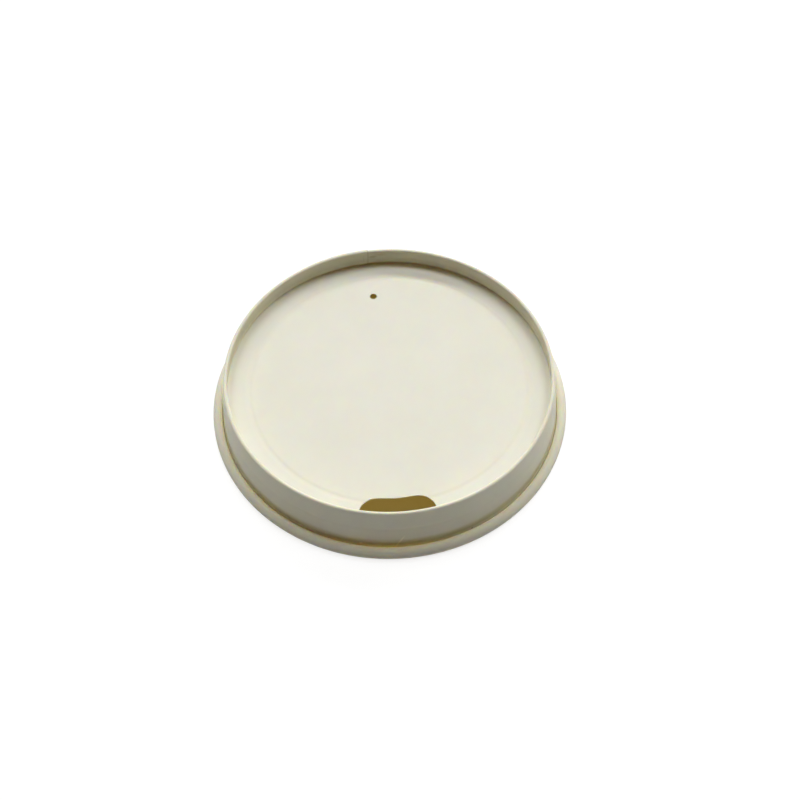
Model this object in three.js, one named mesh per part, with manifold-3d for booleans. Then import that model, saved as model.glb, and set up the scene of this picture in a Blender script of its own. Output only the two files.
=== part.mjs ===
// Paper lid for a hot-drink cup, in millimetres: a wrapped side strip and a drawn disc.
// +Z points up, the foot of the rolled bead lies on z = 0 and the sip opening faces -Y.

import * as THREE from "three";
import { mergeVertices } from "three/addons/utils/BufferGeometryUtils.js";
import Module from "manifold-3d";

// Overall form
const LID_DIAMETER = 95; // outside of the rolled bead
const LID_HEIGHT = 15.2; // foot of the bead to the top of the folded rim
const RIM_DIAMETER = 86.2; // outside of the folded rim
const RECESS_DEPTH = 5.6; // top of the rim down to the disc

// Paper
const STRIP_PAPER = 0.3;
const DISC_PAPER = 0.3;
const LAYER_GAP = 0.05; // glue line between the disc's flange and the strip on both its sides

// Rolled bead
const BEAD_WIDTH = 2.9;
const BEAD_HEIGHT = 3.35;
const FOOT_WIDTH = 0.8; // flat ring that the lid stands on
const CURL_GAP = 0.15; // between the curled edge and the wall that it turns back to
const CURL_TUCK = 1.1; // how far the edge turns down behind the bead's crest

// Lap seam of the strip
const SEAM_ANGLE = 95.4; // degrees, anticlockwise from +X seen from above
const LAP_WIDTH = 6;
const LAP_STEP = 0.2; // what the second layer adds where the seam is pressed
const LAP_END_DEPTH = 0.5; // the second layer ends this far below the bead's crest

// Wall crease, pressed in round the wall under the disc's bend
const CREASE_DEPTH = 0.12;
const CREASE_WIDTH = 1.6;
const CREASE_DROP = 0.1; // middle of the crease below the disc's underside

// Disc
const BEND_RADIUS = 0.45; // middle of the paper, where the disc turns up into its flange
const FLANGE_END_GAP = 0.3; // top of the flange below the middle of the rim's fold
const HEM_CLEARANCE = 0.05; // folded-in edge above the disc's bend
const GROOVE_WALL_GAP = 5.9; // wall of the recess to the middle of the faint ring pressed into the disc
const GROOVE_WIDTH = 1.8;
const GROOVE_DEPTH = 0.12;

// Sip opening
const SIP_WALL_GAP = 1.65; // wall of the recess to the far edge
const SIP_REACH = 6.1; // far edge to the near edge of the two lobes
const SIP_LOBE_RADIUS = 4.35;
const SIP_LOBE_SPACING = 10.4;
const SIP_DIP = 0.35; // how far the near edge dips between the lobes
const SIP_CORNER_RADIUS = 1.2;
const SIP_TWIST = 1.5; // degrees, the opening sits this much out of square

// Vent
const VENT_DIAMETER = 1.9;
const VENT_WALL_GAP = 12.6; // wall of the recess to the middle of the vent
const VENT_ANGLE = 95.7; // degrees, anticlockwise from +X seen from above

// Facets
const TURN_FACETS = 72;
const CURVE_FACETS = 4;
const HOLE_FACETS = 16;
const MERGE_DISTANCE = 1e-4;

const PAPER_COLOUR = 0xe6e4d5;
const PAPER_ROUGHNESS = 0.72;
const DISC_COLOUR = 0xe8e6d8;
const DISC_ROUGHNESS = 0.62;

const radians = THREE.MathUtils.degToRad;
const wasm = await Module();
wasm.setup();

// Side section, as (radius, height) from the middle of the foot
const beadRadius = LID_DIAMETER / 2;
const foldLayers = STRIP_PAPER + DISC_PAPER + 2 * LAYER_GAP; // middle of the wall to middle of the hem
const foldOuterRadius = (foldLayers + STRIP_PAPER) / 2;
const foldCentre = new THREE.Vector2(RIM_DIAMETER / 2 - foldOuterRadius, LID_HEIGHT - foldOuterRadius);
const bead = beadShape();
const wall = wallLine();
const discTop = LID_HEIGHT - RECESS_DEPTH;
const discMiddle = discTop - DISC_PAPER / 2;
const discUnderside = discTop - DISC_PAPER;
const recessRadius = radiusOfWall(discTop) - (foldLayers + STRIP_PAPER / 2) / Math.cos(wall.lean);
const grooveRadius = recessRadius - GROOVE_WALL_GAP;
const ventDistance = recessRadius - VENT_WALL_GAP;
const sipEnd = recessRadius - SIP_WALL_GAP;
const sipStart = sipEnd - SIP_REACH;

// Middle of the paper round the bead: a flat foot between two quarter ellipses, under one rounded crest.
function beadShape() {
  const halfWidth = (BEAD_WIDTH - STRIP_PAPER) / 2;
  const middle = beadRadius - STRIP_PAPER / 2 - halfWidth;
  return {
    middle,
    halfWidth,
    halfHeight: (BEAD_HEIGHT - STRIP_PAPER) / 2,
    height: BEAD_HEIGHT / 2,
    footWidth: halfWidth - FOOT_WIDTH / 2,
    footInside: middle - FOOT_WIDTH / 2,
    footOutside: middle + FOOT_WIDTH / 2,
  };
}

// The wall is the straight line that touches both the rim's fold and the inside of the bead.
function wallLine() {
  const settlingTurns = 12;
  let lean = 0;
  let top;
  let foot;
  let footAngle;
  for (let turn = 0; turn < settlingTurns; turn += 1) {
    const outward = new THREE.Vector2(Math.cos(lean), Math.sin(lean));
    top = foldCentre.clone().addScaledVector(outward, foldLayers / 2);
    footAngle = Math.atan((Math.tan(lean) * bead.halfHeight) / bead.footWidth);
    foot = new THREE.Vector2(
      bead.footInside - bead.footWidth * Math.cos(footAngle),
      bead.height - bead.halfHeight * Math.sin(footAngle),
    );
    lean = Math.atan2(foot.x - top.x, top.y - foot.y);
  }
  return {
    lean,
    top,
    foot,
    footAngle,
    outward: new THREE.Vector2(Math.cos(lean), Math.sin(lean)),
    down: new THREE.Vector2(Math.sin(lean), -Math.cos(lean)),
  };
}

function radiusOfWall(height) {
  return wall.top.x + (wall.top.y - height) * Math.tan(wall.lean);
}

function pointOnWall(height) {
  return new THREE.Vector2(radiusOfWall(height), height);
}

// Points of an ellipse's arc, anticlockwise where the end angle is the larger.
function arc(centreX, centreY, radiusX, radiusY, start, end, facets = CURVE_FACETS) {
  return new THREE.EllipseCurve(centreX, centreY, radiusX, radiusY, start, end, end < start).getPoints(facets);
}

function hemEdge() {
  const bendInside = BEND_RADIUS - DISC_PAPER / 2;
  const height = discTop + bendInside + HEM_CLEARANCE;
  const hemTop = foldCentre.clone().addScaledVector(wall.outward, -foldLayers / 2);
  return hemTop.addScaledVector(wall.down, (hemTop.y - height) / Math.cos(wall.lean));
}

function rimFold() {
  const radius = foldLayers / 2;
  return arc(foldCentre.x, foldCentre.y, radius, radius, Math.PI + wall.lean, wall.lean, CURVE_FACETS + 2);
}

function wallCrease() {
  const middle = pointOnWall(discUnderside - CREASE_DROP);
  const points = [];
  for (let step = -2; step <= 2; step += 1) {
    const share = step / 2;
    const depth = (CREASE_DEPTH * (1 + Math.cos(Math.PI * share))) / 2;
    const along = (share * CREASE_WIDTH) / 2;
    points.push(middle.clone().addScaledVector(wall.down, along).addScaledVector(wall.outward, -depth));
  }
  return points;
}

// From the foot of the wall, under the bead, over its crest and down behind it.
function beadCurl() {
  const { middle, halfWidth, halfHeight, height, footWidth, footInside, footOutside } = bead;
  const edgeHeight = height + halfHeight - CURL_TUCK;
  const edgeRadius = radiusOfWall(edgeHeight) + (STRIP_PAPER + CURL_GAP) / Math.cos(wall.lean);
  const quarter = Math.PI / 2;
  return [
    ...arc(footInside, height, footWidth, halfHeight, Math.PI + wall.footAngle, 3 * quarter),
    ...arc(footOutside, height, footWidth, halfHeight, 3 * quarter, 4 * quarter),
    ...arc(middle, height, halfWidth, halfHeight, 0, quarter).slice(1),
    ...arc(middle, edgeHeight, middle - edgeRadius, CURL_TUCK, quarter, 2 * quarter).slice(1),
  ];
}

// A line moved sideways by the distance given, to its left where that is positive.
function moveSideways(line, distance) {
  const ways = line.slice(1).map((point, index) => point.clone().sub(line[index]).normalize());
  return line.map((point, index) => {
    const arriving = ways[Math.max(index - 1, 0)];
    const leaving = ways[Math.min(index, ways.length - 1)];
    const mitred = arriving.clone().add(leaving).normalize();
    const sideways = new THREE.Vector2(-mitred.y, mitred.x);
    return sideways.multiplyScalar(distance / mitred.dot(arriving)).add(point);
  });
}

// Closed outline of a layer of paper that follows a line, between two distances to the line's left.
function layerOutline(line, near, far) {
  const outline = [...moveSideways(line, near), ...moveSideways(line, far).reverse()];
  return [...outline, outline[0].clone()];
}

// Turned about Z, starting at -Y.
function turned(outline) {
  return new THREE.LatheGeometry(outline, TURN_FACETS).rotateX(Math.PI / 2);
}

function toSolid(geometry) {
  const bare = geometry.clone();
  bare.deleteAttribute("normal");
  bare.deleteAttribute("uv");
  const merged = mergeVertices(bare, MERGE_DISTANCE);
  const corners = merged.index.array;
  const triangles = [];
  for (let i = 0; i < corners.length; i += 3) {
    const [a, b, c] = [corners[i], corners[i + 1], corners[i + 2]];
    if (a !== b && b !== c && c !== a) triangles.push(a, b, c);
  }
  const mesh = new wasm.Mesh({
    numProp: 3,
    vertProperties: new Float32Array(merged.attributes.position.array),
    triVerts: new Uint32Array(triangles),
  });
  return new wasm.Manifold(mesh);
}

function toMesh(name, solid, colour, roughness) {
  const { vertProperties, triVerts } = solid.getMesh();
  const geometry = new THREE.BufferGeometry();
  geometry.setAttribute("position", new THREE.BufferAttribute(vertProperties, 3));
  geometry.setIndex(new THREE.BufferAttribute(triVerts, 1));
  geometry.computeVertexNormals();
  const mesh = new THREE.Mesh(geometry, new THREE.MeshStandardMaterial({ color: colour, roughness, metalness: 0 }));
  mesh.name = name;
  return mesh;
}

// Upright slice of the lid between two angles, wider than the lid.
function slice(start, end) {
  const reach = LID_DIAMETER;
  const outline = new THREE.Shape([
    new THREE.Vector2(0, 0),
    new THREE.Vector2(reach * Math.cos(start), reach * Math.sin(start)),
    new THREE.Vector2(reach * Math.cos(end), reach * Math.sin(end)),
  ]);
  return new THREE.ExtrudeGeometry(outline, { depth: 2 * LID_HEIGHT, bevelEnabled: false });
}

// The strip: folded-in hem, rim, creased wall and rolled bead, with a second layer over the lap seam.
function sideWall() {
  const upper = [hemEdge(), ...rimFold(), ...wallCrease()];
  const strip = layerOutline([...upper, ...beadCurl()], -STRIP_PAPER / 2, STRIP_PAPER / 2);
  const lapEnd = pointOnWall(BEAD_HEIGHT - LAP_END_DEPTH);
  const secondLayer = layerOutline([...upper, lapEnd], 0, STRIP_PAPER / 2 + LAP_STEP);
  const start = radians(SEAM_ANGLE);
  const end = start + LAP_WIDTH / radiusOfWall(LID_HEIGHT / 2);
  const lap = toSolid(turned(secondLayer)).intersect(toSolid(slice(start, end)));
  return toSolid(turned(strip)).add(lap);
}

// Middle of the disc's paper, from the axis to the top of its flange.
function discLine() {
  const bendHeight = discMiddle + BEND_RADIUS;
  const flangeInset = (foldLayers / 2 + BEND_RADIUS) / Math.cos(wall.lean);
  const bendMiddle = radiusOfWall(bendHeight) - flangeInset;
  const flangeTop = foldCentre.clone().addScaledVector(wall.down, FLANGE_END_GAP);
  return [
    new THREE.Vector2(0, discMiddle),
    new THREE.Vector2(grooveRadius - GROOVE_WIDTH / 2, discMiddle),
    new THREE.Vector2(grooveRadius, discMiddle - GROOVE_DEPTH),
    new THREE.Vector2(grooveRadius + GROOVE_WIDTH / 2, discMiddle),
    ...arc(bendMiddle, bendHeight, BEND_RADIUS, BEND_RADIUS, -Math.PI / 2, wall.lean),
    flangeTop,
  ];
}

// Where two circles meet, on the side of the second that lies to the right of the way from the first.
function circlesMeet(first, firstRadius, second, secondRadius) {
  const way = second.clone().sub(first);
  const distance = way.length();
  const along = (distance ** 2 + firstRadius ** 2 - secondRadius ** 2) / (2 * distance);
  const aside = Math.sqrt(firstRadius ** 2 - along ** 2);
  way.normalize();
  return first.clone().addScaledVector(way, along).addScaledVector(new THREE.Vector2(way.y, -way.x), -aside);
}

// Two round lobes with a shallow dip between them, closed by an arc about the middle of the lid.
function sipOutline() {
  const lid = new THREE.Vector2(0, 0);
  const lobeX = SIP_LOBE_SPACING / 2;
  const lobeY = -(sipStart + SIP_LOBE_RADIUS);
  const lobe = new THREE.Vector2(lobeX, lobeY);
  const corner = circlesMeet(lid, sipEnd - SIP_CORNER_RADIUS, lobe, SIP_LOBE_RADIUS - SIP_CORNER_RADIUS);
  const lobeEnd = corner.clone().sub(lobe).angle() - 2 * Math.PI;
  const farEnd = corner.angle() - 2 * Math.PI;
  const dip = -(sipStart + SIP_DIP);
  const mirrored = (angle) => -Math.PI - angle;
  const outline = new THREE.Shape();
  outline.moveTo(0, dip);
  outline.bezierCurveTo(lobeX / 2, dip, lobeX / 2, -sipStart, lobeX, -sipStart);
  outline.absarc(lobeX, lobeY, SIP_LOBE_RADIUS, Math.PI / 2, lobeEnd, true);
  outline.absarc(corner.x, corner.y, SIP_CORNER_RADIUS, lobeEnd, farEnd, true);
  outline.absarc(0, 0, sipEnd, farEnd, mirrored(farEnd), true);
  outline.absarc(-corner.x, corner.y, SIP_CORNER_RADIUS, mirrored(farEnd), mirrored(lobeEnd), true);
  outline.absarc(-lobeX, lobeY, SIP_LOBE_RADIUS, mirrored(lobeEnd), -1.5 * Math.PI, true);
  outline.bezierCurveTo(-lobeX / 2, -sipStart, -lobeX / 2, dip, 0, dip);
  return outline;
}

function sipCutter() {
  const middle = -(sipStart + sipEnd) / 2;
  const depth = 2 * RECESS_DEPTH;
  return new THREE.ExtrudeGeometry(sipOutline(), { depth, curveSegments: CURVE_FACETS * 2, bevelEnabled: false })
    .translate(0, -middle, discMiddle - depth / 2)
    .rotateZ(radians(SIP_TWIST))
    .translate(0, middle, 0);
}

function ventCutter() {
  const angle = radians(VENT_ANGLE);
  return new THREE.CylinderGeometry(VENT_DIAMETER / 2, VENT_DIAMETER / 2, 2 * RECESS_DEPTH, HOLE_FACETS)
    .rotateX(Math.PI / 2)
    .translate(ventDistance * Math.cos(angle), ventDistance * Math.sin(angle), discMiddle);
}

// The disc: a flat panel with a faint ring, turned up into a flange that stands between wall and hem.
function topDisc() {
  const line = discLine();
  const outline = [...moveSideways(line, -DISC_PAPER / 2), ...moveSideways(line, DISC_PAPER / 2).reverse()];
  return toSolid(turned(outline)).subtract(toSolid(sipCutter())).subtract(toSolid(ventCutter()));
}

const lid = new THREE.Group();
lid.add(toMesh("side_wall", sideWall(), PAPER_COLOUR, PAPER_ROUGHNESS));
lid.add(toMesh("top_disc", topDisc(), DISC_COLOUR, DISC_ROUGHNESS));

export default lid;
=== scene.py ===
"""Paper lid for a hot-drink cup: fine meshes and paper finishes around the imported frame, in metres."""

import math

import bmesh
import bpy
import numpy as np
from mathutils import Matrix, Vector


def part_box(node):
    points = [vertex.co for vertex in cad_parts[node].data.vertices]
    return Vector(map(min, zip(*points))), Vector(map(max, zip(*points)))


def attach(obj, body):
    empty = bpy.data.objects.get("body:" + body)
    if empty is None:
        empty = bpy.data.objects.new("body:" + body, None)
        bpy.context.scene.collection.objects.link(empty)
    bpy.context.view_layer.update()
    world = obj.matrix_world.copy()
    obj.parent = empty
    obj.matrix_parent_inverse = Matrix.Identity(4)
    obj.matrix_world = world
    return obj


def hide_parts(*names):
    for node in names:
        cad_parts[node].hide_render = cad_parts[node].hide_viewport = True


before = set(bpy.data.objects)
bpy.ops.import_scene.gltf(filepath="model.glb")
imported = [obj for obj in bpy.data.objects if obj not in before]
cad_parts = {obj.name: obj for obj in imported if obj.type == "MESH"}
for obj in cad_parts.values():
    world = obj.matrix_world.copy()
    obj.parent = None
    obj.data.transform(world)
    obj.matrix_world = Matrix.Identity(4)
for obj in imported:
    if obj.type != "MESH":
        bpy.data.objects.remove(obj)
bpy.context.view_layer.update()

MM = 0.001

# Form, as in the part
WALL_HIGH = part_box("side_wall")[1]
LAP_STEP = 0.2 * MM
BEAD_RADIUS = round(WALL_HIGH.x, 4)
LID_HEIGHT = round(WALL_HIGH.z - LAP_STEP, 5)
RIM_RADIUS = 43.1 * MM
DISC_TOP = LID_HEIGHT - 5.6 * MM
PAPER = 0.3 * MM
LAYER_GAP = 0.05 * MM
BEAD_WIDTH = 2.9 * MM
BEAD_HEIGHT = 3.35 * MM
FOOT_WIDTH = 0.8 * MM
CURL_GAP = 0.15 * MM
CURL_TUCK = 1.1 * MM
CREASE_DEPTH = 0.08 * MM
CREASE_WIDTH = 1.6 * MM
CREASE_DROP = 0.1 * MM
BEND_RADIUS = 0.45 * MM
FLANGE_END_GAP = 0.3 * MM
HEM_CLEARANCE = 0.05 * MM
GROOVE_WALL_GAP = 5.9 * MM
GROOVE_WIDTH = 2.2 * MM
GROOVE_DEPTH = 0.09 * MM
SEAM_ANGLE = math.radians(95.4)
LAP_WIDTH = 6 * MM
LAP_RAMP = math.radians(30)
SEAM_LINE = 0.25 * MM / RIM_RADIUS

# Sip opening and vent
SIP_WALL_GAP = 1.65 * MM
SIP_REACH = 6.1 * MM
SIP_LOBE_RADIUS = 4.35 * MM
SIP_LOBE_SPACING = 10.4 * MM
SIP_DIP = 0.35 * MM
SIP_CORNER_RADIUS = 1.2 * MM
SIP_TWIST = math.radians(1.5)
VENT_RADIUS = 0.95 * MM
VENT_WALL_GAP = 12.6 * MM
VENT_ANGLE = math.radians(95.7)

# Unevenness of the wall and the rim
WALL_WOBBLE = 0.035 * MM
RIM_DIP = 0.05 * MM

# Columns of the meshes round the lid
STRIP_COLUMNS = 420
DISC_COLUMNS = 360

# Width of the step at each edge of the lap, and how near to it the next column may lie
LAP_EDGE = 0.02 * MM
CLEAR_OF_EDGE = 20 * LAP_EDGE

# Points nearer to each other than this are one
MERGE_DISTANCE = 0.0001 * MM

# Rounds in which the wall's lean settles
LEAN_ROUNDS = 12

# Photograph's camera, and the lid's turn under it
CAMERA_POINT = Vector((2.75, -157.26, 222.18)) * MM
CAMERA_ELEVATION = math.radians(54.57)
CAMERA_ROLL = math.radians(0.46)
CAMERA_LENS = 45.0
LID_TURN = math.radians(2.9)

# Lamps: name, azimuth and elevation in degrees, distance and size in metres, power in watts
LAMPS = [
    ("key_behind", 76, 47.5, 1.3, (2.4, 0.13), 12.2),
    ("softbox_above", 76, 76, 1.3, (1.2, 0.33), 9.65),
]

# Studio's pale backdrop behind and beside the lid, and the dark above it
HORIZON_LEVEL = 1.18
DARK_LEVEL = 0.03

# Heights and depths of a direction of length 1 between which the backdrop fades
FADE_HEIGHTS = (0.2, 0.5)
FADE_DEPTHS = (-0.5, 0.3)

# Table: two tones of its grain, its painted shade where the lid covers it, half its side in metres, and its
# drop
FLOOR_LIGHT = (0.88, 0.88, 0.86, 1)
FLOOR_DARK = (0.85, 0.85, 0.83, 1)
UNDER_LID_PAINTED_SHADE = (0.5, 0.44, 0.3, 1)
FLOOR_HALF = 4
FLOOR_DROP = 0.02 * MM

# Part of the open floor that glows white for the camera and takes no shadow, and the strength of that white
FLOOR_GLOW = 0.75
FLOOR_WHITE = 1.15

# Warm light that comes through thin paper, as the share that passes each of its two faces
THROUGH_ONE_FACE = (0.55, 0.475, 0.235, 1)

# How far the fibres take the paper's roughness up and down
ROUGHNESS_SWING = 0.06

# Factors of the paper's colour: the specks' darker tone, then painted shade, painted light (over 1) and a
# painted shadow by the folds, the seam, the vent, the ring and the disc's border
SPECK_SHADE = 0.86
# Painted shade on the hem's inner face, over the recess
HEM_PAINTED_SHADE = (0.93, 0.9, 0.82, 1)
# Painted light in the fold behind the bead and on the disc's bend
FOLD_PAINTED_LIGHT = (1.18, 1.2, 1.22, 1)
# Painted light at the hem's foot, where it meets the disc
HEM_FOOT_PAINTED_LIGHT = (1.22, 1.24, 1.26, 1)
# Painted shade on the wall's outer face just above the bead
FOOT_PAINTED_SHADE = (0.86, 0.82, 0.65, 1)
# Painted shadow along the lap seam's step
SEAM_PAINTED_SHADOW = (0.88, 0.86, 0.8, 1)
# Painted shade round the vent
VENT_PAINTED_SHADE = (0.5, 0.45, 0.3, 1)
# Painted shade on the pressed ring
RING_PAINTED_SHADE = (0.98, 0.978, 0.97, 1)
# Painted shade, slightly cool, on the disc's border outside the ring
BORDER_PAINTED_SHADE = (0.955, 0.965, 0.985, 1)

# Widths of the painted shade and painted light on the disc
RING_MARK = 0.6 * MM
RING_FADE = 0.8 * MM
BORDER_FADE = 1.5 * MM
BEND_FADE = 1.2 * MM
VENT_PAINTED_SHADE_RADIUS = 1.3 * VENT_RADIUS
VENT_PAINTED_SHADE_DEPTH = 4 * PAPER

# Share of a spot's reach over which it keeps its full tone
SPOT_CORE = 0.35

# Small marks on the strip, the first a painted highlight along a wrinkle: middle and half sizes in
# millimetres, turn about Y in degrees, tone
WALL_SPOTS = [
    # Painted highlight along a wrinkle that the mesh lacks
    ((0.2, -44.4, 4.3), (0.34, 1.3, 3.0), 28.5, (1.25, 1.24, 1.22, 1)),
    ((-9.28, -43.67, 3.1), (0.5, 1.0, 0.5), 0, (1.35, 1.35, 1.35, 1)),
    ((18.25, -40.84, 2.5), (0.3, 0.6, 0.3), 0, (0.5, 0.45, 0.4, 1)),
    ((-2.6, 42.25, 12.8), (1.5, 0.8, 0.7), 0, (0.82, 0.79, 0.68, 1)),
    ((-0.4, 42.25, 13.6), (2.3, 0.8, 0.7), 0, (0.93, 0.91, 0.84, 1)),
    ((-5.23, 42.0, 12.5), (0.15, 0.9, 2.4), 0, (0.92, 0.91, 0.88, 1)),
]

QUARTER = math.pi / 2

# Section of the side, as (radius, height)
HALF_PAPER = PAPER / 2
FOLD_LAYERS = 2 * PAPER + 2 * LAYER_GAP
FOLD_OUTER = (FOLD_LAYERS + PAPER) / 2
FOLD_CENTRE = np.array([RIM_RADIUS - FOLD_OUTER, LID_HEIGHT - FOLD_OUTER])
BEAD_HALF_WIDTH = (BEAD_WIDTH - PAPER) / 2
BEAD_HALF_HEIGHT = (BEAD_HEIGHT - PAPER) / 2
BEAD_MIDDLE = BEAD_RADIUS - HALF_PAPER - BEAD_HALF_WIDTH
FOOT_CURVE = BEAD_HALF_WIDTH - FOOT_WIDTH / 2


def wall_line():
    """Lean, top and foot angle of the straight line that touches the fold and the inside of the bead."""
    lean = 0.0
    for _ in range(LEAN_ROUNDS):
        top = FOLD_CENTRE + FOLD_LAYERS / 2 * np.array([math.cos(lean), math.sin(lean)])
        foot_angle = math.atan(math.tan(lean) * BEAD_HALF_HEIGHT / FOOT_CURVE)
        foot = np.array([
            BEAD_MIDDLE - FOOT_WIDTH / 2 - FOOT_CURVE * math.cos(foot_angle),
            BEAD_HEIGHT / 2 - BEAD_HALF_HEIGHT * math.sin(foot_angle),
        ])
        lean = math.atan2(foot[0] - top[0], top[1] - foot[1])
    return lean, top, foot, foot_angle


LEAN, WALL_TOP, WALL_FOOT, FOOT_ANGLE = wall_line()
OUTWARD = np.array([math.cos(LEAN), math.sin(LEAN)])
DOWN = np.array([math.sin(LEAN), -math.cos(LEAN)])


def wall_radius(height):
    return WALL_TOP[0] + (WALL_TOP[1] - height) * math.tan(LEAN)


RECESS_RADIUS = wall_radius(DISC_TOP) - (FOLD_LAYERS + HALF_PAPER) / math.cos(LEAN)
GROOVE_RADIUS = RECESS_RADIUS - GROOVE_WALL_GAP
VENT_DISTANCE = RECESS_RADIUS - VENT_WALL_GAP
VENT_MIDDLE = VENT_DISTANCE * np.array([math.cos(VENT_ANGLE), math.sin(VENT_ANGLE)])
SIP_END = RECESS_RADIUS - SIP_WALL_GAP
SIP_START = SIP_END - SIP_REACH


def arc(x, z, radius_x, radius_z, start, end, steps):
    """Points along an ellipse, both ends included."""
    angles = np.linspace(start, end, steps + 1)
    return np.stack([x + radius_x * np.cos(angles), z + radius_z * np.sin(angles)], 1)


def straight(start, end, steps):
    """Points along a line, with neither end."""
    shares = np.linspace(0, 1, steps + 1)[1:-1, None]
    return start + shares * (end - start)


def dent(distance, width, depth):
    """Depth of a smooth groove at a distance from its middle."""
    share = np.clip(np.abs(distance) / (width / 2), 0, 1)
    return depth * (1 + np.cos(math.pi * share)) / 2


def strip_line():
    """Middle of the strip's paper: up the hem, over the rim, down the wall and round the bead."""
    hem_height = DISC_TOP + BEND_RADIUS - HALF_PAPER + HEM_CLEARANCE
    hem_top = FOLD_CENTRE - OUTWARD * FOLD_LAYERS / 2
    hem_edge = hem_top + DOWN * (hem_top[1] - hem_height) / math.cos(LEAN)
    fold = arc(*FOLD_CENTRE, FOLD_LAYERS / 2, FOLD_LAYERS / 2, math.pi + LEAN, LEAN, steps=14)
    wall = straight(WALL_TOP, WALL_FOOT, steps=44)
    crease_height = DISC_TOP - PAPER - CREASE_DROP
    along = (wall[:, 1] - crease_height) / math.cos(LEAN)
    wall = wall - dent(along, CREASE_WIDTH, CREASE_DEPTH)[:, None] * OUTWARD
    middle = BEAD_HEIGHT / 2
    inside, outside = BEAD_MIDDLE - FOOT_WIDTH / 2, BEAD_MIDDLE + FOOT_WIDTH / 2
    edge_height = middle + BEAD_HALF_HEIGHT - CURL_TUCK
    edge_radius = wall_radius(edge_height) + (PAPER + CURL_GAP) / math.cos(LEAN)
    curl_width = BEAD_MIDDLE - edge_radius
    return np.concatenate([
        hem_edge[None],
        straight(hem_edge, hem_top, steps=10),
        fold,
        wall,
        arc(inside, middle, FOOT_CURVE, BEAD_HALF_HEIGHT, math.pi + FOOT_ANGLE, 3 * QUARTER, steps=10),
        arc(outside, middle, FOOT_CURVE, BEAD_HALF_HEIGHT, 3 * QUARTER, 4 * QUARTER, steps=10),
        arc(BEAD_MIDDLE, middle, BEAD_HALF_WIDTH, BEAD_HALF_HEIGHT, 0, QUARTER, steps=12)[1:],
        arc(BEAD_MIDDLE, edge_height, curl_width, CURL_TUCK, QUARTER, 2 * QUARTER, steps=12)[1:],
    ])


def line_normals(line):
    """Unit normals to the left of a line of points."""
    ways = np.diff(line, axis=0)
    ways /= np.linalg.norm(ways, axis=1)[:, None]
    arriving = np.vstack([ways[:1], ways])
    leaving = np.vstack([ways, ways[-1:]])
    mitred = arriving + leaving
    mitred /= np.linalg.norm(mitred, axis=1)[:, None]
    stretch = 1 / np.sum(mitred * arriving, axis=1)
    return np.stack([-mitred[:, 1], mitred[:, 0]], 1) * stretch[:, None]


def turned_mesh(name, sections, angles, closed_loop):
    """A mesh from one section of (radius, height) points per angle: a closed loop, or open at the axis."""
    count = sections.shape[1]
    turns = len(angles)
    radius, height = sections[:, :, 0], sections[:, :, 1]
    points = np.stack([
        radius * np.cos(angles)[:, None],
        radius * np.sin(angles)[:, None],
        height,
    ], 2).reshape(-1, 3)
    column, row = np.meshgrid(np.arange(turns), np.arange(count if closed_loop else count - 1), indexing="ij")
    next_column = (column + 1) % turns
    next_row = (row + 1) % count
    faces = np.stack([
        column * count + row,
        next_column * count + row,
        next_column * count + next_row,
        column * count + next_row,
    ], 2).reshape(-1, 4)
    mesh = bpy.data.meshes.new(name)
    mesh.from_pydata(points.tolist(), [], faces.tolist())
    return mesh


def finish_mesh(mesh, sharp_degrees):
    """Merges doubled points, makes normals face out and marks the cut edges sharp."""
    work = bmesh.new()
    work.from_mesh(mesh)
    bmesh.ops.remove_doubles(work, verts=work.verts, dist=MERGE_DISTANCE)
    bmesh.ops.recalc_face_normals(work, faces=work.faces)
    work.to_mesh(mesh)
    work.free()
    mesh.shade_smooth()
    mesh.set_sharp_from_angle(angle=math.radians(sharp_degrees))
    return mesh


def add_piece(name, mesh, node, material):
    piece = bpy.data.objects.new(name, mesh)
    bpy.context.scene.collection.objects.link(piece)
    mesh.materials.append(material)
    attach(piece, "root")
    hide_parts(node)
    return piece


def smooth_step(x):
    x = np.clip(x, 0, 1)
    return x * x * (3 - 2 * x)


def hand_made(angles, phase, waves):
    """Sum of a few slow waves round the lid, from -1 to 1, the same every run."""
    total = sum(np.sin(n * angles + phase * n + n * n) / n for n in waves)
    return total / sum(1 / n for n in waves)


def strip_angles():
    """Even angles round the lid, with a tight pair at each edge of the lap, and the width of lap and pair."""
    lap = LAP_WIDTH / wall_radius(LID_HEIGHT / 2)
    step = LAP_EDGE / RIM_RADIUS
    even = SEAM_ANGLE + np.linspace(0, 2 * math.pi, STRIP_COLUMNS, endpoint=False)[1:]
    edges = np.array([SEAM_ANGLE, SEAM_ANGLE + step, SEAM_ANGLE + lap, SEAM_ANGLE + lap + step])
    keep = even[np.min(np.abs(even[:, None] - edges), axis=1) > CLEAR_OF_EDGE / RIM_RADIUS]
    return np.sort(np.concatenate([keep, edges])), lap, step


def strip_mesh():
    """The wrapped strip, with one end of the paper lying over the other at the lap seam."""
    line = strip_line()
    normals = line_normals(line)
    angles, lap, step = strip_angles()
    turned = angles - SEAM_ANGLE
    fade = 1 - smooth_step((turned - lap) / LAP_RAMP)
    outer = HALF_PAPER + LAP_STEP * np.where(turned < step / 2, 0, np.where(turned <= lap, 1, fade))
    inner = -HALF_PAPER + LAP_STEP * np.where(turned < lap + step / 2, 0, fade)
    rise = np.clip((line[:, 1] - BEAD_HEIGHT) / (LID_HEIGHT - BEAD_HEIGHT), 0, 1)
    share = np.concatenate([rise, rise[::-1]])
    wobble = WALL_WOBBLE * (hand_made(angles, phase=0.7, waves=(2, 3, 5)) - 1)
    dip = RIM_DIP * (hand_made(angles, phase=1.9, waves=(2, 4, 7)) - 1) / 2
    sections = []
    for i in range(len(angles)):
        right = line + normals * inner[i]
        left = line + normals * outer[i]
        ring = np.vstack([right, left[::-1]])
        sections.append(ring + np.stack([share * wobble[i], share * dip[i]], 1))
    return turned_mesh("wall_paper", np.array(sections), angles, closed_loop=True)


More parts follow.
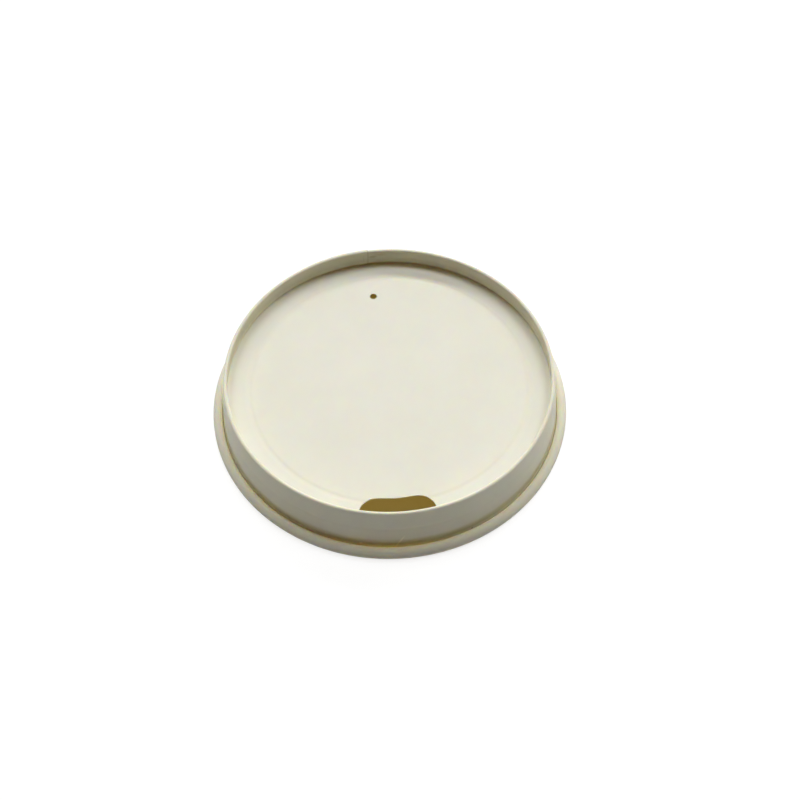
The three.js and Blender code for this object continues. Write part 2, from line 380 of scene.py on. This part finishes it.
def disc_line():
    """Middle of the disc's paper, from the axis to the top of its flange."""
    middle = DISC_TOP - HALF_PAPER
    bend_height = middle + BEND_RADIUS
    bend_middle = wall_radius(bend_height) - (FOLD_LAYERS / 2 + BEND_RADIUS) / math.cos(LEAN)
    flange_top = FOLD_CENTRE + DOWN * FLANGE_END_GAP
    groove = GROOVE_RADIUS + GROOVE_WIDTH * np.linspace(-0.5, 0.5, 13)
    ring = np.stack([groove, middle - dent(groove - GROOVE_RADIUS, GROOVE_WIDTH, GROOVE_DEPTH)], 1)
    start = np.array([0.0, middle])
    bend = arc(bend_middle, bend_height, BEND_RADIUS, BEND_RADIUS, -QUARTER, LEAN, steps=10)
    return np.concatenate([
        start[None],
        straight(start, ring[0], steps=14),
        ring,
        straight(ring[-1], bend[0], steps=5),
        bend,
        straight(bend[-1], flange_top, steps=6),
        flange_top[None],
    ])


def circles_meet(first, first_radius, second, second_radius):
    """Where two circles meet, on the left of the way from the first to the second."""
    way = second - first
    distance = np.linalg.norm(way)
    along = (distance**2 + first_radius**2 - second_radius**2) / (2 * distance)
    aside = math.sqrt(first_radius**2 - along**2)
    way = way / distance
    return first + way * along + np.array([-way[1], way[0]]) * aside


def sip_outline():
    """Two round lobes with a shallow dip between them, closed by an arc about the middle of the lid."""
    lobe = np.array([SIP_LOBE_SPACING / 2, -(SIP_START + SIP_LOBE_RADIUS)])
    corner = circles_meet(np.zeros(2), SIP_END - SIP_CORNER_RADIUS, lobe, SIP_LOBE_RADIUS - SIP_CORNER_RADIUS)
    lobe_end = math.atan2(*(corner - lobe)[::-1])
    far_end = math.atan2(corner[1], corner[0])
    across = np.linspace(0, lobe[0], 13, endpoint=False)
    half = np.concatenate([
        np.stack([across, -SIP_START - dent(across, SIP_LOBE_SPACING, SIP_DIP)], 1),
        arc(*lobe, SIP_LOBE_RADIUS, SIP_LOBE_RADIUS, QUARTER, lobe_end, steps=28),
        arc(*corner, SIP_CORNER_RADIUS, SIP_CORNER_RADIUS, lobe_end, far_end, steps=10)[1:],
        arc(0, 0, SIP_END, SIP_END, far_end, -QUARTER, steps=14)[1:],
    ])
    mirrored = half[1:-1][::-1] * np.array([-1, 1])
    return np.concatenate([half, mirrored])


def cutter(name, outline, depth=4 * MM):
    """An upright prism of the outline through the disc."""
    work = bmesh.new()
    low = [work.verts.new((x, y, DISC_TOP - depth)) for x, y in outline]
    work.faces.new(low)
    raised = bmesh.ops.extrude_face_region(work, geom=work.faces[:])
    verts = [v for v in raised["geom"] if isinstance(v, bmesh.types.BMVert)]
    bmesh.ops.translate(work, verts=verts, vec=(0, 0, 2 * depth))
    bmesh.ops.recalc_face_normals(work, faces=work.faces)
    mesh = bpy.data.meshes.new(name)
    work.to_mesh(mesh)
    work.free()
    tool = bpy.data.objects.new(name, mesh)
    bpy.context.scene.collection.objects.link(tool)
    return tool


def cut(mesh, outlines):
    """The mesh with each outline cut out of it."""
    piece = bpy.data.objects.new("being_cut", mesh)
    bpy.context.scene.collection.objects.link(piece)
    tools = [cutter(f"cutter_{i}", outline) for i, outline in enumerate(outlines)]
    for tool in tools:
        change = piece.modifiers.new(tool.name, "BOOLEAN")
        change.operation = "DIFFERENCE"
        change.solver = "EXACT"
        change.object = tool
    bpy.context.view_layer.update()
    graph = bpy.context.evaluated_depsgraph_get()
    result = bpy.data.meshes.new_from_object(piece.evaluated_get(graph))
    for gone in [piece, *tools]:
        bpy.data.objects.remove(gone)
    return result


def disc_mesh():
    """The drawn disc with its upturned flange, with the sip opening and the vent cut out."""
    line = disc_line()
    normals = line_normals(line)
    section = np.vstack([line - normals * HALF_PAPER, (line + normals * HALF_PAPER)[::-1]])
    angles = np.linspace(0, 2 * math.pi, DISC_COLUMNS, endpoint=False)
    sections = np.repeat(section[None], len(angles), 0)
    mesh = finish_mesh(turned_mesh("disc_paper", sections, angles, closed_loop=False), sharp_degrees=40)
    middle = np.array([0, -(SIP_START + SIP_END) / 2])
    c, s = math.cos(SIP_TWIST), math.sin(SIP_TWIST)
    sip = (sip_outline() - middle) @ np.array([[c, s], [-s, c]]) + middle
    vent = arc(*VENT_MIDDLE, VENT_RADIUS, VENT_RADIUS, 0, 2 * math.pi, steps=40)[:-1]
    return finish_mesh(cut(mesh, [sip, vent]), sharp_degrees=40)


def srgb(red, green, blue):
    """Linear colour of an sRGB colour given from 0 to 255."""
    values = [v / 255 for v in (red, green, blue)]
    return (*[v / 12.92 if v <= 0.04045 else ((v + 0.055) / 1.055) ** 2.4 for v in values], 1)


class Nodes:
    """Short ways to add and join the shader nodes of one material or world."""

    def __init__(self, owner, coordinates="Object"):
        owner.use_nodes = True
        self.tree = owner.node_tree
        self.place = self.add("ShaderNodeTexCoord").outputs[coordinates]
        axes = self.add("ShaderNodeSeparateXYZ")
        self.join(self.place, axes.inputs[0])
        self.x, self.y, self.height = axes.outputs

    def add(self, kind, **values):
        node = self.tree.nodes.new(kind)
        for key, value in values.items():
            setattr(node, key, value)
        return node

    def join(self, source, target):
        self.tree.links.new(source, target)

    def noise(self, scale, detail=3, roughness=0.5, stretch=None):
        """Cloudy noise, with so many clouds to a metre."""
        texture = self.add("ShaderNodeTexNoise")
        texture.inputs["Scale"].default_value = scale
        texture.inputs["Detail"].default_value = detail
        texture.inputs["Roughness"].default_value = roughness
        place = self.place
        if stretch:
            mapping = self.add("ShaderNodeMapping")
            mapping.inputs["Scale"].default_value = stretch
            self.join(place, mapping.inputs["Vector"])
            place = mapping.outputs["Vector"]
        self.join(place, texture.inputs["Vector"])
        return texture.outputs["Fac"]

    def spread(self, source, low, high, to_low, to_high):
        """The source from low to high, spread over another range and held at its ends."""
        ranged = self.add("ShaderNodeMapRange")
        for name, value in (("From Min", low), ("From Max", high), ("To Min", to_low), ("To Max", to_high)):
            ranged.inputs[name].default_value = value
        self.join(source, ranged.inputs["Value"])
        return ranged.outputs["Result"]

    def feed(self, socket, value):
        """Gives a socket a number or a colour, or joins it to another node's output."""
        if isinstance(value, (tuple, float)):
            socket.default_value = value
        else:
            self.join(value, socket)

    def mix(self, factor, first, second, **values):
        """Two colours mixed. An RGBA Mix node has its factor at input 0, and its colours at 6 and 7."""
        mixer = self.add("ShaderNodeMix", data_type="RGBA", **values)
        for index, value in ((0, factor), (6, first), (7, second)):
            self.feed(mixer.inputs[index], value)
        return mixer.outputs[2]

    def tint(self, tone, mask, colour):
        """The tone multiplied by a colour where the mask is 1."""
        return self.mix(mask, tone, colour, blend_type="MULTIPLY", clamp_result=True)

    def mix_shaders(self, factor, first, second):
        """Two shaders mixed, as the surface of the material."""
        mixer = self.add("ShaderNodeMixShader")
        for socket, value in zip(mixer.inputs, (factor, first, second)):
            self.join(value, socket)
        self.join(mixer.outputs[0], self.tree.nodes["Material Output"].inputs["Surface"])

    def math(self, operation, first, second=0.0):
        node = self.add("ShaderNodeMath", operation=operation)
        for socket, value in zip(node.inputs, (first, second)):
            self.feed(socket, value)
        return node.outputs[0]

    def length(self, vector):
        node = self.add("ShaderNodeVectorMath", operation="LENGTH")
        self.join(vector, node.inputs[0])
        return node.outputs["Value"]

    def within(self, source, low, high, edge):
        """1 between two values and 0 beyond them, over a soft edge."""
        rising = self.spread(source, low - edge, low, 0, 1)
        falling = self.spread(source, high, high + edge, 1, 0)
        return self.math("MULTIPLY", rising, falling)

    def spot(self, middle, reach, turn):
        """1 in the middle of an ellipsoid and 0 at its surface."""
        mapping = self.add("ShaderNodeMapping", vector_type="TEXTURE")
        mapping.inputs["Location"].default_value = middle
        mapping.inputs["Rotation"].default_value = (0, turn, 0)
        mapping.inputs["Scale"].default_value = reach
        self.join(self.place, mapping.inputs["Vector"])
        return self.spread(self.length(mapping.outputs["Vector"]), SPOT_CORE, 1, 1, 0)

    def bump(self, source, strength, distance, under=None):
        bumped = self.add("ShaderNodeBump")
        bumped.inputs["Strength"].default_value = strength
        bumped.inputs["Distance"].default_value = distance
        self.join(source, bumped.inputs["Height"])
        if under:
            self.join(under, bumped.inputs["Normal"])
        return bumped.outputs["Normal"]


class PaperNodes(Nodes):
    """Nodes of a paper, whose marks are placed by radius, angle and inset from the middle of the wall."""

    def __init__(self, owner):
        super().__init__(owner)
        squares = [self.math("MULTIPLY", axis, axis) for axis in (self.x, self.y)]
        self.radius = self.math("SQRT", self.math("ADD", *squares))
        self.angle = self.math("ARCTAN2", self.y, self.x)
        lean = self.math("MULTIPLY", self.math("SUBTRACT", float(WALL_TOP[1]), self.height), math.tan(LEAN))
        self.inset = self.math("SUBTRACT", self.math("ADD", lean, float(WALL_TOP[0])), self.radius)


def paper_material(name, light, dark, roughness, fibre_bump, marks):
    """Ivory paperboard: soft cloudy tone, fine fibres and low sheen, letting a little warm light through."""
    material = bpy.data.materials.new(name)
    nodes = PaperNodes(material)
    shader = material.node_tree.nodes["Principled BSDF"]
    cloud = nodes.spread(nodes.noise(scale=90, detail=4, roughness=0.55), 0.35, 0.65, 0, 1)
    fibres = nodes.noise(scale=2600, detail=5, roughness=0.6, stretch=(1.0, 0.35, 1.0))
    speck = nodes.spread(nodes.noise(scale=5200, detail=2), 0.68, 0.8, 0, 0.25)
    tone = nodes.mix(cloud, light, dark)
    tone = nodes.mix(speck, tone, (*[SPECK_SHADE * v for v in dark[:3]], 1))
    nodes.join(marks(nodes, tone), shader.inputs["Base Color"])
    rough = nodes.spread(fibres, 0.3, 0.7, roughness - ROUGHNESS_SWING, roughness + ROUGHNESS_SWING)
    nodes.join(rough, shader.inputs["Roughness"])
    soft = nodes.bump(nodes.noise(scale=420), strength=0.25, distance=0.02 * MM)
    fine = nodes.bump(fibres, strength=fibre_bump, distance=0.01 * MM, under=soft)
    nodes.join(fine, shader.inputs["Normal"])
    shader.inputs["Subsurface Weight"].default_value = 0.55
    shader.inputs["Subsurface Radius"].default_value = (1.0, 0.62, 0.16)
    shader.inputs["Subsurface Scale"].default_value = 0.35 * MM
    shader.inputs["Specular IOR Level"].default_value = 0.35
    through = nodes.add("ShaderNodeBsdfTransparent")
    through.inputs["Color"].default_value = THROUGH_ONE_FACE
    shadow_ray = nodes.add("ShaderNodeLightPath").outputs["Is Shadow Ray"]
    nodes.mix_shaders(shadow_ray, shader.outputs[0], through.outputs[0])
    return material


def wall_marks(nodes, tone):
    """Painted shade on the hem and at the wall's foot, painted light at the hem's foot and behind the bead, a
    painted shadow along the glued seam and a few small marks, one a painted highlight along a wrinkle.
    """
    recess_side = nodes.spread(nodes.inset, FOLD_LAYERS, FOLD_LAYERS + HALF_PAPER, 0, 1)
    upper = nodes.spread(nodes.height, DISC_TOP - PAPER, DISC_TOP, 0, 1)
    # Painted shade on the hem's inner face
    tone = nodes.tint(tone, nodes.math("MULTIPLY", recess_side, upper), HEM_PAINTED_SHADE)
    hem_foot = nodes.within(nodes.height, DISC_TOP - PAPER, DISC_TOP + 2 * PAPER, 5 * PAPER)
    # Painted light at the hem's foot
    tone = nodes.tint(tone, nodes.math("MULTIPLY", recess_side, hem_foot), HEM_FOOT_PAINTED_LIGHT)
    behind_bead = nodes.spread(nodes.radius, BEAD_MIDDLE - BEAD_HALF_WIDTH / 2, BEAD_MIDDLE, 1, 0)
    low = nodes.within(nodes.height, BEAD_HEIGHT - CURL_TUCK, BEAD_HEIGHT - 2 * PAPER, 2 * PAPER)
    # Painted light in the fold behind the bead
    tone = nodes.tint(tone, nodes.math("MULTIPLY", behind_bead, low), FOLD_PAINTED_LIGHT)
    outside = nodes.within(nodes.inset, -HALF_PAPER - 1.2 * LAP_STEP, -HALF_PAPER / 2, HALF_PAPER)
    foot = nodes.within(nodes.height, BEAD_HEIGHT + PAPER, BEAD_HEIGHT + 3 * PAPER, 4 * PAPER)
    # Painted shade on the wall just above the bead
    tone = nodes.tint(tone, nodes.math("MULTIPLY", outside, foot), FOOT_PAINTED_SHADE)
    seam = nodes.within(nodes.angle, SEAM_ANGLE - SEAM_LINE / 2, SEAM_ANGLE + SEAM_LINE / 2, SEAM_LINE / 2)
    seen_side = nodes.math("MAXIMUM", upper, outside)
    # Painted shadow along the seam
    tone = nodes.tint(tone, nodes.math("MULTIPLY", seam, seen_side), SEAM_PAINTED_SHADOW)
    for middle, reach, turn, colour in WALL_SPOTS:
        spot = nodes.spot(Vector(middle) * MM, Vector(reach) * MM, math.radians(turn))
        tone = nodes.tint(tone, spot, colour)
    return tone


def disc_marks(nodes, tone):
    """Painted shade on the pressed ring, cooler painted shade on the border outside it, painted light on the
    bend and painted shade round the vent.
    """
    ring = nodes.within(nodes.radius, GROOVE_RADIUS - RING_MARK / 2, GROOVE_RADIUS + RING_MARK / 2, RING_FADE)
    # Painted shade on the pressed ring
    tone = nodes.tint(tone, ring, RING_PAINTED_SHADE)
    border = nodes.spread(nodes.radius, GROOVE_RADIUS, GROOVE_RADIUS + BORDER_FADE, 0, 1)
    # Painted shade on the disc's border
    tone = nodes.tint(tone, border, BORDER_PAINTED_SHADE)
    bend = nodes.spread(nodes.radius, RECESS_RADIUS - BEND_FADE, RECESS_RADIUS, 0, 1)
    # Painted light on the disc's bend
    tone = nodes.tint(tone, bend, FOLD_PAINTED_LIGHT)
    # Painted shade round the vent
    reach = (VENT_PAINTED_SHADE_RADIUS, VENT_PAINTED_SHADE_RADIUS, VENT_PAINTED_SHADE_DEPTH)
    return nodes.tint(tone, nodes.spot((*VENT_MIDDLE, DISC_TOP), reach, 0), VENT_PAINTED_SHADE)


def floor_material():
    """A pale table, with painted shade under the lid. Away from the lid a camera sees it nearly white, with a
    faint shadow.
    """
    material = bpy.data.materials.new("pale_table")
    nodes = Nodes(material)
    shader = material.node_tree.nodes["Principled BSDF"]
    grain = nodes.spread(nodes.noise(scale=300), 0.3, 0.7, 0, 1)
    open_tone = nodes.mix(grain, FLOOR_LIGHT, FLOOR_DARK)
    shader.inputs["Roughness"].default_value = 0.9
    shader.inputs["Specular IOR Level"].default_value = 0.1
    distance = nodes.length(nodes.place)
    under = nodes.spread(distance, BEAD_RADIUS - BEAD_WIDTH, BEAD_RADIUS, 1, 0)
    # Painted shade under the lid: a darker, warmer floor tone
    nodes.join(nodes.mix(under, open_tone, UNDER_LID_PAINTED_SHADE), shader.inputs["Base Color"])
    glow = nodes.add("ShaderNodeEmission")
    glow.inputs["Strength"].default_value = FLOOR_WHITE
    open_floor = nodes.spread(distance, BEAD_RADIUS - BEAD_WIDTH, BEAD_RADIUS, 0, FLOOR_GLOW)
    camera_ray = nodes.add("ShaderNodeLightPath").outputs["Is Camera Ray"]
    share = nodes.math("MULTIPLY", camera_ray, open_floor)
    nodes.mix_shaders(share, shader.outputs[0], glow.outputs[0])
    return material


def add_floor():
    mesh = bpy.data.meshes.new("table_top")
    corners = [(x * FLOOR_HALF, y * FLOOR_HALF, 0) for x, y in ((-1, -1), (1, -1), (1, 1), (-1, 1))]
    mesh.from_pydata(corners, [], [(0, 1, 2, 3)])
    mesh.materials.append(floor_material())
    floor = bpy.data.objects.new("table_top", mesh)
    bpy.context.scene.collection.objects.link(floor)
    floor.location.z = -FLOOR_DROP


def add_camera():
    data = bpy.data.cameras.new("camera")
    data.lens = CAMERA_LENS
    data.sensor_width = 36
    data.clip_start = 0.01
    data.clip_end = 10
    camera = bpy.data.objects.new("camera", data)
    bpy.context.scene.collection.objects.link(camera)
    turn = Matrix.Rotation(-LID_TURN, 4, "Z")
    tilt = Matrix.Rotation(QUARTER - CAMERA_ELEVATION, 4, "X")
    roll = Matrix.Rotation(-CAMERA_ROLL, 4, "Z")
    camera.matrix_world = turn @ Matrix.Translation(CAMERA_POINT) @ tilt @ roll
    bpy.context.scene.camera = camera


def add_softbox(name, azimuth, elevation, distance, size, power):
    """A rectangular lamp that faces the lid. Azimuth runs anticlockwise from +X seen from above."""
    data = bpy.data.lights.new(name, "AREA")
    data.shape = "RECTANGLE"
    data.size, data.size_y = size
    data.energy = power
    lamp = bpy.data.objects.new(name, data)
    bpy.context.scene.collection.objects.link(lamp)
    a, e = math.radians(azimuth), math.radians(elevation)
    way = Vector((math.cos(a) * math.cos(e), math.sin(a) * math.cos(e), math.sin(e)))
    lamp.location = way * distance
    lamp.rotation_mode = "QUATERNION"
    lamp.rotation_quaternion = way.to_track_quat("Z", "Y")


def add_lights():
    """The lamps, and a world that is pale behind the lid, dark above and before it, and white to a camera."""
    for lamp in LAMPS:
        add_softbox(*lamp)
    world = bpy.data.worlds.new("studio")
    bpy.context.scene.world = world
    nodes = Nodes(world, coordinates="Generated")
    near_horizon = nodes.spread(nodes.height, *FADE_HEIGHTS, HORIZON_LEVEL, DARK_LEVEL)
    behind = nodes.spread(nodes.y, *FADE_DEPTHS, 0, 1)
    lighting = nodes.math("MULTIPLY", near_horizon, behind)
    camera_ray = nodes.add("ShaderNodeLightPath").outputs["Is Camera Ray"]
    background = world.node_tree.nodes["Background"]
    nodes.join(nodes.math("MAXIMUM", lighting, camera_ray), background.inputs["Strength"])
    background.inputs["Color"].default_value = (1, 1, 1, 1)


def build():
    side = paper_material(
        "side_paper",
        light=srgb(231, 228, 209),
        dark=srgb(228, 225, 205),
        roughness=0.62,
        fibre_bump=0.4,
        marks=wall_marks,
    )
    top = paper_material(
        "disc_paper",
        light=srgb(232, 230, 216),
        dark=srgb(230, 228, 213),
        roughness=0.5,
        fibre_bump=0.2,
        marks=disc_marks,
    )
    add_piece("wall_paper", finish_mesh(strip_mesh(), sharp_degrees=35), "side_wall", side)
    add_piece("disc_paper", disc_mesh(), "top_disc", top)
    add_floor()
    add_camera()
    add_lights()
    bpy.context.scene.view_settings.view_transform = "Standard"


build()
